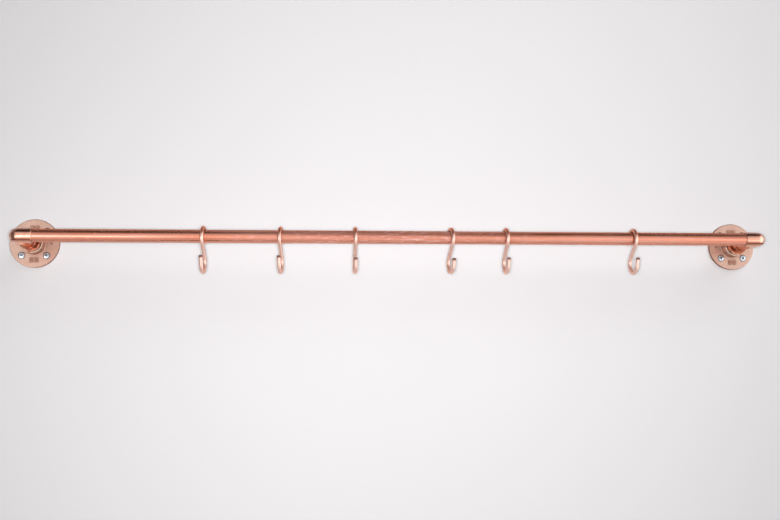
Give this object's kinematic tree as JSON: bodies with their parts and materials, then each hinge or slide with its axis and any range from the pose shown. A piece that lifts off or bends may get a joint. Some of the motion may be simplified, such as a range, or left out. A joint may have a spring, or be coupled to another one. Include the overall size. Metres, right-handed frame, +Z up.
{
  "type": "copper pipe wall rail with hooks",
  "caption": "Wall-mounted pot rail of copper pipe with elbows, screwed flanges and sliding S-hooks of copper wire.",
  "frame": {"origin": "on the wall plane, midway between the two flanges, at the height of their centres", "axes": "+X along the rail to the right, +Y into the wall, +Z up"},
  "size_m": [0.9266, 0.1203, 0.0719],
  "materials": {
    "copper_pipe": "drawn copper tube, satin with faint lengthwise lines and tarnish",
    "copper_fitting": "bright formed copper, polished by handling",
    "cast_flange": "copper-plated casting, matte and finely grained",
    "hook_wire": "copper wire, satin",
    "zinc_screw": "bright zinc plate"
  },
  "bodies": {
    "rail_frame": {"rail_pipe": "copper_pipe", "left_elbow": "copper_fitting", "left_standoff_pipe": "copper_pipe", "left_adapter": "copper_fitting", "left_flange": "cast_flange", "left_screw_1": "zinc_screw", "left_screw_2": "zinc_screw", "left_screw_3": "zinc_screw", "left_screw_4": "zinc_screw", "right_elbow": "copper_fitting", "right_standoff_pipe": "copper_pipe", "right_adapter": "copper_fitting", "right_flange": "cast_flange", "right_screw_1": "zinc_screw", "right_screw_2": "zinc_screw", "right_screw_3": "zinc_screw", "right_screw_4": "zinc_screw"},
    "hook_1": {"hook_1": "hook_wire"},
    "hook_2": {"hook_2": "hook_wire"},
    "hook_3": {"hook_3": "hook_wire"},
    "hook_4": {"hook_4": "hook_wire"},
    "hook_5": {"hook_5": "hook_wire"},
    "hook_6": {"hook_6": "hook_wire"}
  },
  "joints": [
    {"name": "hook_1_slide", "type": "slide", "parent": "rail_frame", "child": "hook_1", "axis": [1, 0, 0], "range_m": [-0.1835, 0.0375]},
    {"name": "hook_2_slide", "type": "slide", "parent": "rail_frame", "child": "hook_2", "axis": [1, 0, 0], "range_m": [-0.0375, 0.0365]},
    {"name": "hook_3_slide", "type": "slide", "parent": "rail_frame", "child": "hook_3", "axis": [1, 0, 0], "range_m": [-0.0365, 0.0495]},
    {"name": "hook_4_slide", "type": "slide", "parent": "rail_frame", "child": "hook_4", "axis": [1, 0, 0], "range_m": [-0.0495, 0.0265]},
    {"name": "hook_5_slide", "type": "slide", "parent": "rail_frame", "child": "hook_5", "axis": [1, 0, 0], "range_m": [-0.0265, 0.0705]},
    {"name": "hook_6_slide", "type": "slide", "parent": "rail_frame", "child": "hook_6", "axis": [1, 0, 0], "range_m": [-0.0705, 0.1315]}
  ]
}
